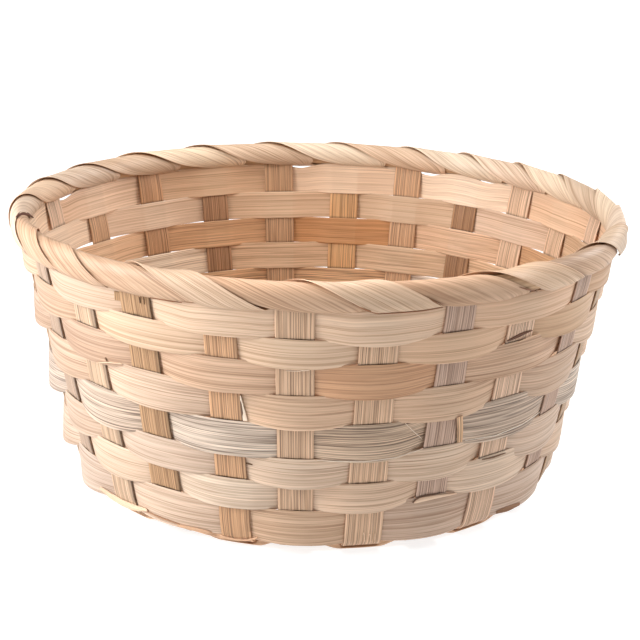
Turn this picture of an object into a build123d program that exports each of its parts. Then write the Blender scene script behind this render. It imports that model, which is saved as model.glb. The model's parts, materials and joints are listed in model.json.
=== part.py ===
# Round woven splint basket: long flat splints are plaited into a base, fanned out,
# turned up as the wall uprights, woven with eight hoops of splint and finished with
# a two-hoop rim that is bound by two helical lashing splints.
# Millimetres, +Z up, origin on the floor under the middle of the base, front at -Y.
import os
from math import atan, atan2, cos, degrees, hypot, pi, radians, sin, sqrt, tan

from build123d import *

os.makedirs("parts", exist_ok=True)

# ---------------------------------------------------------------- driving dimensions
STAKE_W = 12.5          # width of an upright splint
STAKE_T = 1.0           # its thickness
WEAVER_W = 11.5         # height of a side weaver
WEAVER_T = 0.9          # its thickness
FLARE = radians(12.2)   # lean of the wall from the vertical
R_FLOOR = 97.75         # wall mid-surface radius, extended down to the floor
N_ROWS = 8              # side weaver rows
ROW_TOP_Z = 94.9        # middle of the top row
ROW_PITCH = 11.857      # row spacing
GAP = 0.1               # air between splints that cross

GRID_PITCH = 16.0       # lane spacing of the plaited middle of the base
GRID_Z_LOW = 0.5        # mid height of a splint that passes under
GRID_Z_HIGH = 1.55      # mid height of a splint that passes over
PLATEAU = 6.4           # half length of the level run at each base crossing
EDGE_Z = 1.5            # mid height of every splint where the base ring crosses it
HEEL_R = 6.5            # bend radius where base turns into wall

RING_R0, RING_R1 = 81.5, 92.5   # base ring weaver, inner and outer radius
RING_T = 0.9

RIM_Z = 106.6           # height of the middle of the rim section
HOOP_HALF_H = 4.4       # half height of a rim hoop
HOOP_T = 2.3            # crown thickness of a rim hoop
HOOP_GAP = 0.8          # hoop's flat face from the wall mid-surface
LASH_T = 0.45           # lashing splint thickness
LASH_A, LASH_B = 3.35, 4.9     # lashing inside half axes, across and along the wall
LASH_LIFT = 0.66        # how far the lapping edge rides over its neighbour
LASH_HALF = 17.0        # half reach of a lashing turn along the rim
LASH_PINCH = 7.0        # how much it narrows where it dives between two uprights

# Angular position of the 24 uprights, counted anticlockwise from the front, as
# fifteen-degree steps plus the hand-made unevenness of each.
UNEVEN = {
    -4: 2.28, -3: 1.70, -2: 1.03, -1: 2.02, 0: 0.13, 1: -0.48, 2: -1.20, 3: -1.95,
    4: 0.70, 5: 0.10, 6: -0.50, 7: -0.90, 8: -1.30, 9: -2.07, 10: -2.49, 11: -2.17,
    12: -2.39, 13: -1.98, 14: -1.32, 15: -0.06, 16: 2.00, 17: 2.10, 18: 2.20, 19: 2.25,
}
N_STAKES = 24


def stake_deg(k):
    """Angle of upright k from the front (-Y) towards +X, in degrees; k counts on past 24."""
    turn, i = divmod(k + 4, N_STAKES)
    return 15.0 * (i - 4) - 7.5 + UNEVEN[i - 4] + 360.0 * turn


def out_dir(deg):
    a = radians(deg)
    return Vector(sin(a), -cos(a), 0)


def wall_r(z):
    return R_FLOOR + z * tan(FLARE)


def row_z(row):
    return ROW_TOP_Z - ROW_PITCH * (row - 1)


# heel arc between the base and the wall, in (radius, height)
HEEL_CZ = EDGE_Z + HEEL_R
HEEL_CR = wall_r(HEEL_CZ) - HEEL_R / cos(FLARE)
RIM_R = wall_r(RIM_Z)
LANES = [GRID_PITCH * (i - 2.5) for i in range(6)]


def smooth(t):
    t = max(0.0, min(1.0, t))
    return t * t * (3 - 2 * t)


# ---------------------------------------------------------------- uprights
def half_stations(lane, level, deg, to_uv):
    """Cross-section planes of one half of a long splint, from the middle of the base out
    and up to the rim. lane is its sideways offset in the plait, level[i] its height at
    the crossings on this half, deg the angle of its upright."""
    planes = []

    def at(p, along, width):
        planes.append(Plane(origin=p, x_dir=width, z_dir=along))

    def flat(u, v, z, du, dv):
        n = hypot(du, dv)
        du, dv = du / n, dv / n
        at(to_uv(u, v, z), to_uv(du, dv, 0), to_uv(-dv, du, 0))

    for i, u in enumerate(LANES[3:]):          # level runs over and under the cross splints
        flat(u - PLATEAU, lane, level[i], 1, 0)
        if i < 2:
            flat(u + PLATEAU, lane, level[i], 1, 0)
    last = level[2]
    out = out_dir(deg)
    probe_u, probe_v = to_uv(1, 0, 0), to_uv(0, 1, 0)
    cu, cv = out.dot(probe_u), out.dot(probe_v)
    # fan: a gentle sideways curve from the plait to the radial direction
    u0, v0 = LANES[5] + PLATEAU, lane
    r1 = 79.5
    u1, v1 = r1 * cu, r1 * cv
    reach = hypot(u1 - u0, v1 - v0)
    steps = 6
    for s in range(steps + 1):
        t = s / steps
        h00, h10 = 2 * t**3 - 3 * t**2 + 1, t**3 - 2 * t**2 + t
        h01, h11 = -2 * t**3 + 3 * t**2, t**3 - t**2
        u = h00 * u0 + h10 * reach + h01 * u1 + h11 * reach * cu
        v = h00 * v0 + h01 * v1 + h11 * reach * cv
        d00, d10 = 6 * t**2 - 6 * t, 3 * t**2 - 4 * t + 1
        d01, d11 = -6 * t**2 + 6 * t, 3 * t**2 - 2 * t
        du = d00 * u0 + d10 * reach + d01 * u1 + d11 * reach * cu
        dv = d00 * v0 + d01 * v1 + d11 * reach * cv
        z = last + (EDGE_Z - last) * smooth((t - 0.3) / 0.6)
        flat(u, v, z, du, dv)
    side = Vector(-out.Y, out.X, 0)            # anticlockwise along the wall
    if side.dot(to_uv(-cv, cu, 0)) < 0:
        side = side * -1
    # heel: the flat run turns up on an arc
    turn = pi / 2 - FLARE
    for s in range(0, 7):
        a = turn * s / 6
        p = out * (HEEL_CR + HEEL_R * sin(a)) + Vector(0, 0, HEEL_CZ - HEEL_R * cos(a))
        at(p, out * cos(a) + Vector(0, 0, sin(a)), side)
    # wall: straight to the top of the rim
    top = RIM_Z + 4.1 * cos(FLARE)
    at(out * wall_r(top) + Vector(0, 0, top), out * sin(FLARE) + Vector(0, 0, cos(FLARE)), side)
    return planes


def splint_planes(lane_i, front_k, back_k, over_if_even, to_uv):
    """Planes of a whole splint from one upright's top, through the base, to the other's."""
    lane = LANES[lane_i]

    def level(j):
        return GRID_Z_HIGH if ((lane_i + j) % 2 == 0) == over_if_even else GRID_Z_LOW

    ahead = half_stations(lane, [level(j) for j in (3, 4, 5)], stake_deg(front_k), to_uv)

    def back_uv(u, v, z):                      # the same half seen from the other end
        return to_uv(-u, -v, z)

    behind = half_stations(-lane, [level(j) for j in (2, 1, 0)], stake_deg(back_k), back_uv)
    turned = [Plane(origin=p.origin, x_dir=p.x_dir * -1, z_dir=p.z_dir * -1) for p in behind]
    return turned[::-1] + ahead


def run_to_front(u, v, z):      # splints that run front to back: u points to the front
    return Vector(v, -u, z)


def run_to_right(u, v, z):      # splints that run left to right: u points to the right
    return Vector(u, v, z)


STAKE_SPLINTS = []
for i in range(6):
    STAKE_SPLINTS.append((f"stake_front_back_{i + 1}", splint_planes(i, i - 2, 15 - i, True, run_to_front)))
for i in range(6):
    STAKE_SPLINTS.append((f"stake_left_right_{i + 1}", splint_planes(i, i + 4, 21 - i, True, run_to_right)))

for name, planes in STAKE_SPLINTS:
    with BuildPart() as stake:
        for plane in planes:
            with BuildSketch(plane):
                Rectangle(STAKE_W, STAKE_T)
        loft(ruled=True)
    stake.part.label = name
    export_step(stake.part, f"parts/{name}.step")

# ---------------------------------------------------------------- side weavers
OUT_OFF = 1.34                      # weaver mid-surface from the wall's at both edges of an upright that it passes outside
IN_OFF = -0.90                      # and inside; it lies flat across the upright, so its middle is nearer the axis
FOOT_WAVE = 1.9                     # how much wider the wave is at a weaver's bottom edge than at its top edge
LAP = WEAVER_T + GAP                # the hidden end lies behind the start of the same weaver
LAP_AT = {1: 21, 2: 14, 3: 9, 4: 18, 5: 7, 6: 16, 7: 11, 8: 20}   # upright that covers each row's lap


def weaver_path(row):
    """(angle, offset of the wave, step of the lap) stations of a weaver from its covered start,
    all the way round, to its covered end."""
    start = LAP_AT[row]
    if (row % 2 == 1) != (start % 2 == 0):
        start += 1
    end = start + N_STAKES
    edge = degrees((STAKE_W / 2 + 0.4) / wall_r(row_z(row)))
    path = []
    for k in range(start, end + 1):
        a, b = stake_deg(k), stake_deg(k + 1)
        off, then = (IN_OFF, OUT_OFF) if (row % 2 == 1) == (k % 2 == 0) else (OUT_OFF, IN_OFF)
        step = -LAP if k == end else 0.0
        if k == start:
            path.append((a - edge * 0.6, off - 0.06, step))
        else:
            path.append((a - edge, off, step))
        path.append((a + edge, off, step))
        if k == end:
            path.append((a + edge + 2.6, off + 0.1, step))
        else:
            for t in (0.2, 0.4, 0.6, 0.8):
                drop = -LAP * smooth(t) if k + 1 == end else 0.0
                path.append((a + edge + (b - a - 2 * edge) * t, off + (then - off) * smooth(t), drop))
    return path


for row in range(1, N_ROWS + 1):
    half = WEAVER_W / 2 * cos(FLARE)
    with BuildPart() as weaver:
        for a, off, step in weaver_path(row):
            # a straight strip round a cone is taut along its top edge and stands off at its bottom edge
            out = out_dir(a)
            top = out * (wall_r(row_z(row) + half) + off + step) + Vector(0, 0, row_z(row) + half)
            foot = out * (wall_r(row_z(row) - half) + off * FOOT_WAVE + step) + Vector(0, 0, row_z(row) - half)
            with BuildSketch(Plane(origin=(top + foot) / 2, x_dir=top - foot, z_dir=Vector(-out.Y, out.X, 0))):
                Rectangle((top - foot).length, WEAVER_T)
        loft(ruled=True)
    weaver.part.label = f"weaver_row_{row}"
    export_step(weaver.part, f"parts/weaver_row_{row}.step")

# ---------------------------------------------------------------- base ring weaver
RING_LOW = RING_T / 2
RING_HIGH = EDGE_Z + STAKE_T / 2 + GAP + RING_T / 2
ring_edge = 4.7
ring_knots = []
RING_START = 8
for k in range(RING_START, RING_START + N_STAKES + 1):
    a = stake_deg(k)
    z = RING_LOW if k % 2 else RING_HIGH
    if k > RING_START:
        ring_knots.append((a - ring_edge, z))
        ring_knots.append((a - 0.6, z))
    if k < RING_START + N_STAKES:
        ring_knots.append((a + (0.0 if k == RING_START else 0.6), z))
        ring_knots.append((a + ring_edge, z))
        b = stake_deg(k + 1)
        z2 = RING_LOW if (k + 1) % 2 else RING_HIGH
        for t in (0.3, 0.5, 0.7):
            ring_knots.append((a + ring_edge + (b - a - 2 * ring_edge) * t, z + (z2 - z) * smooth(t)))

with BuildPart() as base_ring:
    for a, z in ring_knots:
        out = out_dir(a)
        with BuildSketch(Plane(origin=out * ((RING_R0 + RING_R1) / 2) + Vector(0, 0, z), x_dir=out, z_dir=Vector(-out.Y, out.X, 0))):
            Rectangle(RING_R1 - RING_R0, RING_T)
    loft(ruled=True)
base_ring.part.label = "base_ring_weaver"
export_step(base_ring.part, "parts/base_ring_weaver.step")

# ---------------------------------------------------------------- rim hoops
RIM_PLANE = Plane(origin=(RIM_R, 0, RIM_Z), x_dir=(cos(FLARE), 0, -sin(FLARE)), z_dir=(0, -1, 0))


def hoop_profile(side):
    return [(side * HOOP_GAP, -HOOP_HALF_H), (side * (HOOP_GAP + HOOP_T), 0), (side * HOOP_GAP, HOOP_HALF_H)]


for name, side, scarf_deg in (("rim_outer_hoop", 1, 197.0), ("rim_inner_hoop", -1, 96.0)):
    with BuildPart() as hoop:
        with BuildSketch(RIM_PLANE):
            with BuildLine():
                crown = ThreePointArc(*hoop_profile(side))
                Line(crown @ 1, crown @ 0)
            make_face()
        revolve(axis=Axis.Z)
        # scarf joint: the hoop's two tapered ends meet on a long slant
        mid = out_dir(scarf_deg) * RIM_R + Vector(0, 0, RIM_Z)
        with Locations(Location(tuple(mid), (0, 0, scarf_deg + 14.0))):
            Box(80, 0.3, 24, mode=Mode.SUBTRACT)
    hoop.part.label = name
    export_step(hoop.part, f"parts/{name}.step")

# ---------------------------------------------------------------- rim lashing
def half_reach(chi):
    """Half reach of a turn along the rim, narrower under the rim where it passes between uprights."""
    s = sin(chi)
    return LASH_HALF - (LASH_PINCH * s * s if s > 0 else 0.0)


def lashing_table(start):
    """(chi, centre angle) samples of a lashing: chi grows by a full turn from one dive
    between uprights to the next, two gaps on. chi = 90 degrees is under the rim."""
    table = []
    per = 48
    for n in range(-2, 15):
        a0 = (stake_deg(start + 2 * n) + stake_deg(start + 2 * n + 1)) / 2
        a1 = (stake_deg(start + 2 * n + 2) + stake_deg(start + 2 * n + 3)) / 2
        for s in range(per):
            table.append((pi / 2 + 2 * pi * (n + s / per), radians(a0 + (a1 - a0) * s / per)))
    return table


def lookup(pairs, x):
    lo, hi = 0, len(pairs) - 1
    while hi - lo > 1:
        m = (lo + hi) // 2
        if pairs[m][0] <= x:
            lo = m
        else:
            hi = m
    (x0, y0), (x1, y1) = pairs[lo], pairs[hi]
    return y0 + (y1 - y0) * (x - x0) / (x1 - x0)


def lash_point(chi, lift):
    return ((LASH_A + lift) * cos(chi), -(LASH_B + lift) * sin(chi))


ARC_POINTS = 9
LASH_STATIONS = 24 * 9
for name, start in (("rim_lashing_a", 0), ("rim_lashing_b", 1)):
    table = lashing_table(start)
    lead = [(a - half_reach(c) / RIM_R, c) for c, a in table]
    trail = [(a + half_reach(c) / RIM_R, c) for c, a in table]
    a_first = stake_deg(start) + 1.0
    with BuildPart() as lashing:
        for s in range(LASH_STATIONS + 1):
            deg = a_first + 359.7 * s / LASH_STATIONS
            lo, hi = lookup(trail, radians(deg)), lookup(lead, radians(deg))
            out = out_dir(deg)
            plane = Plane(
                origin=out * RIM_R + Vector(0, 0, RIM_Z),
                x_dir=out * cos(FLARE) - Vector(0, 0, sin(FLARE)),
                z_dir=Vector(out.Y, -out.X, 0),
            )
            chis = [lo + (hi - lo) * i / (ARC_POINTS - 1) for i in range(ARC_POINTS)]
            lifts = [LASH_LIFT * (1 - i / (ARC_POINTS - 1)) for i in range(ARC_POINTS)]
            with BuildSketch(plane):
                with BuildLine():
                    inner = Spline(*[lash_point(c, d) for c, d in zip(chis, lifts)])
                    outer = Spline(*[lash_point(c, d + LASH_T) for c, d in zip(chis, lifts)])
                    Line(inner @ 0, outer @ 0)
                    Line(inner @ 1, outer @ 1)
                make_face()
        loft(ruled=True)
        # the uprights stand in notches of the lashing's lower folds
        for k in range(N_STAKES):
            out = out_dir(stake_deg(k))
            z = RIM_Z - (LASH_B + 0.2) * cos(FLARE)
            slot = Plane(
                origin=out * wall_r(z) + Vector(0, 0, z),
                x_dir=out * cos(FLARE) - Vector(0, 0, sin(FLARE)),
                z_dir=out * sin(FLARE) + Vector(0, 0, cos(FLARE)),
            )
            with Locations(slot.location):
                Box(STAKE_T + 0.4, STAKE_W + 0.4, 3.4, mode=Mode.SUBTRACT)
    lashing.part.label = name
    export_step(lashing.part, f"parts/{name}.step")
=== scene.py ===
# Looks for the woven splint basket: every splint is rebuilt as a thin, slightly uneven strip
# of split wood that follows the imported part, with grain that runs along each strip.
import json
import math

import bpy
import bmesh
import numpy as np
from mathutils import Matrix, Vector
from mathutils.bvhtree import BVHTree

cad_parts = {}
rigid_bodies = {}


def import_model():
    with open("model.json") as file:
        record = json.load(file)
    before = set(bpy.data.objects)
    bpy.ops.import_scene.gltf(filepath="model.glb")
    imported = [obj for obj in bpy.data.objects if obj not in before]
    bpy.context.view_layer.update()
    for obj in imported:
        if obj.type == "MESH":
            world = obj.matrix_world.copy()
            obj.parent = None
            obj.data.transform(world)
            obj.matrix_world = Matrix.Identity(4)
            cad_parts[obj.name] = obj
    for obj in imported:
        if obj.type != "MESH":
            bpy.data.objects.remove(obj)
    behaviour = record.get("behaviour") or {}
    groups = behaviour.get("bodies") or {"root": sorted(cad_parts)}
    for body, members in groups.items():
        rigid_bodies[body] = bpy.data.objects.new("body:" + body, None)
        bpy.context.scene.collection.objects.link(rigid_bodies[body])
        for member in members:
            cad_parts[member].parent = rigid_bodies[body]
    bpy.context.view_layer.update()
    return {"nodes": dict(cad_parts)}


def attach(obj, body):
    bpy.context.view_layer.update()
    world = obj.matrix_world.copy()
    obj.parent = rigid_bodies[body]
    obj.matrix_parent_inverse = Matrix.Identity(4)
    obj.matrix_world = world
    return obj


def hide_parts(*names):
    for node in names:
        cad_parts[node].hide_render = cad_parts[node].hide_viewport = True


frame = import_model()

# ------------------------------------------------------------------ the part's dimensions (mm)
STAKE_T = 0.7
WEAVER_W, WEAVER_T = 12.1, 0.5
FLARE = math.radians(12.2)
R_FLOOR = 97.75
ROW_TOP_Z, ROW_PITCH, N_ROWS = 94.9, 11.857, 8
GRID_PITCH, GRID_LOW, GRID_HIGH, PLATEAU = 16.0, 0.5, 1.55, 6.4
EDGE_Z, HEEL_R = 1.5, 6.5
RING_R0, RING_R1 = 81.5, 92.5
RIM_Z = 106.6
N_STAKES = 24
UNEVEN = {
    -4: 2.28, -3: 1.70, -2: 1.03, -1: 2.02, 0: 0.13, 1: -0.48, 2: -1.20, 3: -1.95,
    4: 0.70, 5: 0.10, 6: -0.50, 7: -0.90, 8: -1.30, 9: -2.07, 10: -2.49, 11: -2.17,
    12: -2.39, 13: -1.98, 14: -1.32, 15: -0.06, 16: 2.00, 17: 2.10, 18: 2.20, 19: 2.25,
}
LAP_AT = {1: 22, 2: 1, 3: 4, 4: 23, 5: 2, 6: 3, 7: 0, 8: 21}
LANES = [GRID_PITCH * (i - 2.5) for i in range(6)]
SIN_F, COS_F, TAN_F = math.sin(FLARE), math.cos(FLARE), math.tan(FLARE)
HEEL_CZ = EDGE_Z + HEEL_R
HEEL_CR = R_FLOOR + HEEL_CZ * TAN_F - HEEL_R / COS_F
RIM_R = R_FLOOR + RIM_Z * TAN_F
VIEW_DEG = -3.84        # the photograph is taken from this angle, counted from -Y towards +X


STAKE_WIDE = {   # width at the foot and at the rim where it differs from 12.5
    -4: (12.6, 12.2), -3: (13.3, 12.6), -2: (13.9, 13.6), -1: (12.0, 12.2), 0: (12.8, 14.2), 1: (14.3, 14.2),
    2: (13.3, 12.0), 3: (14.2, 13.6), 4: (12.6, 12.6), 9: (13.2, 13.2), 10: (12.2, 12.2), 11: (13.0, 13.0),
    12: (13.2, 13.4), 13: (13.6, 13.6), 14: (12.4, 12.4), 15: (13.0, 12.6), 16: (12.2, 12.2),
}


def stake_wide(k):
    k = (k + 4) % N_STAKES - 4
    return STAKE_WIDE.get(k, (12.5, 12.5))


def stake_deg(k):
    turn, i = divmod(k + 4, N_STAKES)
    return 15.0 * (i - 4) - 7.5 + UNEVEN[i - 4] + 360.0 * turn


def wall_r(z):
    return R_FLOOR + z * TAN_F


def dive_deg(k):
    """Where the lashing passes under the rim before upright k + 1."""
    return stake_deg(k + 1) - math.degrees(10.6 / RIM_R)


def row_z(row):
    return ROW_TOP_Z - ROW_PITCH * (row - 1)


def smooth(t):
    t = np.clip(t, 0.0, 1.0)
    return t * t * (3 - 2 * t)


def out_dir(deg):
    a = np.radians(deg)
    return np.stack([np.sin(a), -np.cos(a), np.zeros_like(a)], axis=-1)


def unit(v):
    return v / np.maximum(np.linalg.norm(v, axis=-1, keepdims=True), 1e-12)


def wander(x, step, amount, seed, octaves=2):
    """Smooth seeded noise of x with about that step between turns, within +-amount."""
    x = np.asarray(x, float)
    rng = np.random.RandomState(seed)
    total, size = np.zeros_like(x), 1.0
    for o in range(octaves):
        knots = rng.uniform(-1, 1, 4096)
        u = x / (step / 2**o) + 1000.0
        i = np.floor(u).astype(int)
        f = u - i
        f = f * f * (3 - 2 * f)
        total += size * (knots[i % 4096] * (1 - f) + knots[(i + 1) % 4096] * f)
        size *= 0.5
    return amount * total / 1.5


# ------------------------------------------------------------------ materials
def nodes_of(name):
    mat = bpy.data.materials.new(name)
    mat.use_nodes = True
    tree = mat.node_tree
    tree.nodes.clear()
    out = tree.nodes.new("ShaderNodeOutputMaterial")
    bsdf = tree.nodes.new("ShaderNodeBsdfPrincipled")
    tree.links.new(bsdf.outputs[0], out.inputs[0])
    return mat, tree, bsdf


class Graph:
    """Short names for the few kinds of node that these materials use."""

    def __init__(self, tree):
        self.t = tree

    def link(self, a, b):
        self.t.links.new(a, b)

    def put(self, socket, value):
        if hasattr(value, "is_linked") or hasattr(value, "links"):
            self.link(value, socket)
        else:
            socket.default_value = value

    def attr(self, name, out):
        n = self.t.nodes.new("ShaderNodeAttribute")
        n.attribute_name = name
        return n.outputs[out]

    def math(self, op, a, b=0.0, clamp=False):
        n = self.t.nodes.new("ShaderNodeMath")
        n.operation = op
        n.use_clamp = clamp
        self.put(n.inputs[0], a)
        self.put(n.inputs[1], b)
        return n.outputs[0]

    def vmul(self, v, k):
        n = self.t.nodes.new("ShaderNodeVectorMath")
        n.operation = "MULTIPLY"
        self.put(n.inputs[0], v)
        n.inputs[1].default_value = k
        return n.outputs[0]

    def join(self, x, y, z):
        n = self.t.nodes.new("ShaderNodeCombineXYZ")
        for i, v in enumerate((x, y, z)):
            self.put(n.inputs[i], v)
        return n.outputs[0]

    def split(self, v):
        n = self.t.nodes.new("ShaderNodeSeparateXYZ")
        self.link(v, n.inputs[0])
        return n.outputs

    def noise(self, v, scale=1.0, detail=2.0, rough=0.5, distort=0.0):
        n = self.t.nodes.new("ShaderNodeTexNoise")
        self.link(v, n.inputs["Vector"])
        n.inputs["Scale"].default_value = scale
        n.inputs["Detail"].default_value = detail
        n.inputs["Roughness"].default_value = rough
        n.inputs["Distortion"].default_value = distort
        return n.outputs["Fac"]

    def ramp(self, x, lo, hi, to_lo=0.0, to_hi=1.0, kind="SMOOTHSTEP"):
        n = self.t.nodes.new("ShaderNodeMapRange")
        n.interpolation_type = kind
        self.put(n.inputs["Value"], x)
        n.inputs["From Min"].default_value = lo
        n.inputs["From Max"].default_value = hi
        n.inputs["To Min"].default_value = to_lo
        n.inputs["To Max"].default_value = to_hi
        return n.outputs["Result"]

    def mix(self, f, a, b, kind="MIX"):
        n = self.t.nodes.new("ShaderNodeMix")
        n.data_type = "RGBA"
        n.blend_type = kind
        self.put(n.inputs[0], f)
        for i, v in ((6, a), (7, b)):
            if isinstance(v, tuple):
                v = (*v, 1.0) if len(v) == 3 else v
            self.put(n.inputs[i], v)
        return n.outputs[2]


def splint(name, light, dark, line, lines=0.5, rib=0.0, rough=(0.42, 0.6), bump=0.35, shine=0.4, glow=0.2, coarse=1.0, white=0.0, hair=0.0):
    """Split wood: fibres along the strip, streaks, a few dark lines, and ribs for coarse strips.
    Attribute strip holds metres along and across the strip and the strip's own number."""
    mat, tree, bsdf = nodes_of(name)
    g = Graph(tree)
    s, w, sid = g.split(g.attr("strip", "Vector"))
    lazy = g.noise(g.join(g.math("MULTIPLY", s, 22.0), g.math("MULTIPLY", w, 160.0), sid), detail=1.0)
    w = g.math("ADD", w, g.math("MULTIPLY", g.math("SUBTRACT", lazy, 0.5), 0.00030))
    at = g.join(s, w, sid)
    fine = g.noise(g.vmul(at, (7.0 * coarse, 2600.0 * coarse, 1.0)), detail=2.0, rough=0.6)
    streak = g.noise(g.vmul(at, (3.0, 640.0, 1.7)), detail=2.0, rough=0.55)
    broad = g.noise(g.vmul(at, (13.0, 90.0, 2.3)), detail=2.0)
    fleck = g.noise(g.vmul(at, (160.0, 3200.0, 3.1)), detail=1.0)
    grain = g.math("ADD", g.math("MULTIPLY", fine, 0.62), g.math("MULTIPLY", streak, 0.38))
    colour = g.mix(g.ramp(grain, 0.38, 0.63), light, dark)
    thin = g.ramp(fine, 0.585, 0.68, 0.0, lines)
    long_line = g.ramp(streak, 0.60, 0.70, 0.0, lines * 0.40)
    colour = g.mix(g.math("MAXIMUM", thin, long_line), colour, line)
    colour = g.mix(g.ramp(fleck, 0.66, 0.78, 0.0, 0.25), colour, line)
    if white:
        bare = g.noise(g.vmul(at, (5.0, 2100.0 * coarse, 4.1)), detail=1.0)
        colour = g.mix(g.ramp(bare, 0.60, 0.67, 0.0, white), colour, tuple(min(1.0, c * 1.22) for c in light))
    if hair:
        # single short fibres, some paler and some darker than the wood round them
        tuft = g.noise(g.vmul(at, (34.0, 1550.0, 6.3)), detail=1.0, rough=0.5)
        colour = g.mix(g.ramp(tuft, 0.52, 0.70, 0.0, min(1.0, 2.4 * hair)), colour, line)
        colour = g.mix(g.ramp(tuft, 0.47, 0.30, 0.0, min(1.0, 2.6 * hair)), colour, tuple(min(1.0, c * 1.25) for c in light))
    height = g.math("ADD", g.math("MULTIPLY", fine, 0.55), g.math("MULTIPLY", streak, 0.9))
    if rib:
        sway = g.noise(g.vmul(at, (2.5, 300.0, 5.0)), detail=1.0)
        ribs = g.math("SINE", g.math("ADD", g.math("MULTIPLY", w, 7600.0), g.math("MULTIPLY", sway, 26.0)))
        depth = g.ramp(g.noise(g.vmul(at, (12.0, 420.0, 9.0)), detail=1.0), 0.32, 0.6, 0.25, 1.0)
        groove = g.math("MULTIPLY", g.ramp(ribs, 0.35, 1.0), depth)
        colour = g.mix(g.math("MULTIPLY", groove, rib), colour, line)
        height = g.math("SUBTRACT", height, g.math("MULTIPLY", groove, 1.3 * rib))
        crest = g.math("MULTIPLY", g.ramp(ribs, -0.4, -1.0), g.ramp(depth, 0.5, 1.0))
        colour = g.mix(g.math("MULTIPLY", crest, 0.28), colour, tuple(min(1.0, c * 1.25) for c in light))
        # a painted highlight along both edges, with a thin dark line beside it
        side = g.math("ABSOLUTE", g.attr("side", "Fac"))
        pale = g.math("MULTIPLY", g.ramp(side, 0.80, 0.86), g.ramp(side, 0.99, 0.95))
        thin_dark = g.math("MULTIPLY", g.ramp(side, 0.74, 0.785), g.ramp(side, 0.84, 0.80))
        colour = g.mix(g.math("MULTIPLY", pale, 0.36), colour, tuple(min(1.0, c * 1.3) for c in light))
        colour = g.mix(g.math("MULTIPLY", thin_dark, 0.5), colour, line)
    colour = g.mix(g.ramp(broad, 0.3, 0.75, 0.0, 0.22), colour, dark)
    # the tone attribute: each strip's colour, its painted light and shade included
    colour = g.mix(1.0, colour, g.attr("tone", "Color"), "MULTIPLY")
    g.link(colour, bsdf.inputs["Base Color"])
    g.link(g.ramp(streak, 0.3, 0.7, rough[0], rough[1]), bsdf.inputs["Roughness"])
    bsdf.inputs["Specular IOR Level"].default_value = shine
    b = tree.nodes.new("ShaderNodeBump")
    b.inputs["Strength"].default_value = bump
    b.inputs["Distance"].default_value = 0.00022
    g.link(height, b.inputs["Height"])
    g.link(b.outputs[0], bsdf.inputs["Normal"])
    # thin split wood lets some light through, and warms it
    through = tree.nodes.new("ShaderNodeBsdfTranslucent")
    g.link(g.mix(1.0, colour, (1.0, 0.88, 0.72), "MULTIPLY"), through.inputs["Color"])
    g.link(b.outputs[0], through.inputs["Normal"])
    both = tree.nodes.new("ShaderNodeMixShader")
    both.inputs[0].default_value = glow
    g.link(bsdf.outputs[0], both.inputs[1])
    g.link(through.outputs[0], both.inputs[2])
    out = next(n for n in tree.nodes if n.type == "OUTPUT_MATERIAL")
    g.link(both.outputs[0], out.inputs[0])
    return mat


WEAVER = splint("weaver_splint", (0.775, 0.560, 0.394), (0.605, 0.405, 0.266), (0.39, 0.213, 0.116), lines=0.54, coarse=0.88, white=0.45, hair=0.10)
WEAVER_LOW = splint("weaver_splint_low", (0.785, 0.569, 0.402), (0.600, 0.400, 0.262), (0.35, 0.188, 0.103), lines=0.66, bump=0.5, coarse=0.84, white=0.6, hair=0.17)
GREY = splint("grey_splint", (0.74, 0.595, 0.474), (0.385, 0.283, 0.215), (0.115, 0.075, 0.053), lines=1.0, bump=0.8, coarse=0.70, white=1.0, hair=0.30)
STAKE = splint("stake_splint", (0.653, 0.471, 0.323), (0.490, 0.329, 0.212), (0.165, 0.100, 0.063), lines=0.44, rib=0.64, bump=0.6, shine=0.3, coarse=0.90, hair=0.21)
LASH = splint("lashing_splint", (0.825, 0.632, 0.463), (0.680, 0.478, 0.325), (0.38, 0.212, 0.118), lines=0.60, bump=0.45, coarse=0.90, white=0.45, hair=0.20)


def hoop_material():
    mat, tree, bsdf = nodes_of("rim_hoop")
    g = Graph(tree)
    n = tree.nodes.new("ShaderNodeTexCoord")
    x, y, z = g.split(n.outputs["Object"])
    angle = g.math("ARCTAN2", x, y)
    reach = g.math("SQRT", g.math("ADD", g.math("MULTIPLY", x, x), g.math("MULTIPLY", y, y)))
    at = g.join(g.math("MULTIPLY", angle, 3.0), g.math("MULTIPLY", z, 900.0), g.math("MULTIPLY", reach, 900.0))
    fine = g.noise(at, detail=3.0, rough=0.6)
    colour = g.mix(g.ramp(fine, 0.35, 0.68), (0.56, 0.36, 0.207), (0.36, 0.212, 0.108))
    g.link(colour, bsdf.inputs["Base Color"])
    g.link(g.ramp(fine, 0.3, 0.7, 0.55, 0.75), bsdf.inputs["Roughness"])
    b = tree.nodes.new("ShaderNodeBump")
    b.inputs["Strength"].default_value = 0.4
    b.inputs["Distance"].default_value = 0.0002
    g.link(fine, b.inputs["Height"])
    g.link(b.outputs[0], bsdf.inputs["Normal"])
    return mat


HOOP = hoop_material()


# ------------------------------------------------------------------ strips
def edge_profile(w, soft):
    """Half thickness across the strip: full in the middle, rounded at both edges."""
    e = np.clip((np.abs(w) - (1 - soft)) / soft, 0, 1)
    return np.sqrt(np.clip(1 - 0.86 * e * e, 0, 1))


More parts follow.
